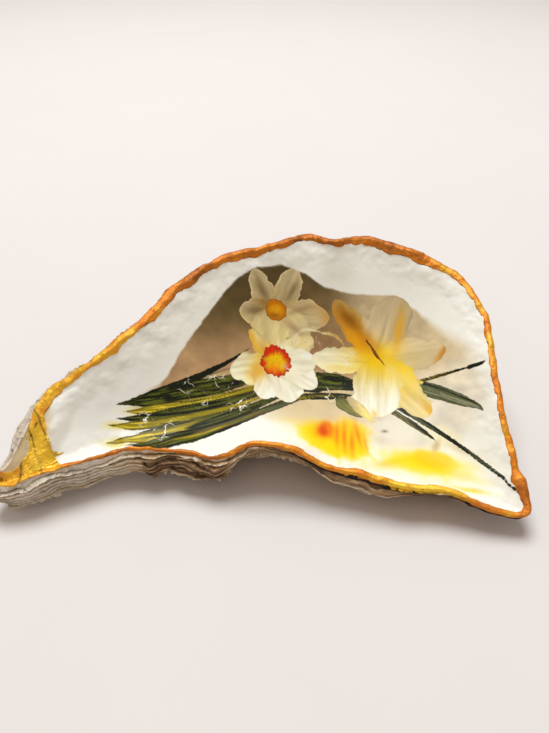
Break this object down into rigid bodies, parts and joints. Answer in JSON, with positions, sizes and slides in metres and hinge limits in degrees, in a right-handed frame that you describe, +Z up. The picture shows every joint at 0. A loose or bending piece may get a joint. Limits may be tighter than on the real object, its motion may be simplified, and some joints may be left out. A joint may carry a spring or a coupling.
{
  "type": "oyster shell",
  "caption": "Single cupped oyster valve resting hollow side up as a small dish, painted white inside with a gilded lip and hinge plate and a varnished print of spring flowers.",
  "frame": {"origin": "middle of the shell's footprint, on the surface that it rests on", "axes": "+X from the beak and hinge plate to the wide open margin, +Y to the high back margin, +Z up out of the hollow"},
  "size_m": [0.1524, 0.0958, 0.046],
  "materials": {
    "shell": "rough chalky layered shell, cream to grey-brown",
    "white_paint": "glossy varnished white paint",
    "gold_paint": "hand-brushed metallic gold paint, mottled",
    "printed_paper": "thin printed paper under clear varnish"
  },
  "bodies": {
    "root": {"shell": "shell"}
  },
  "joints": []
}
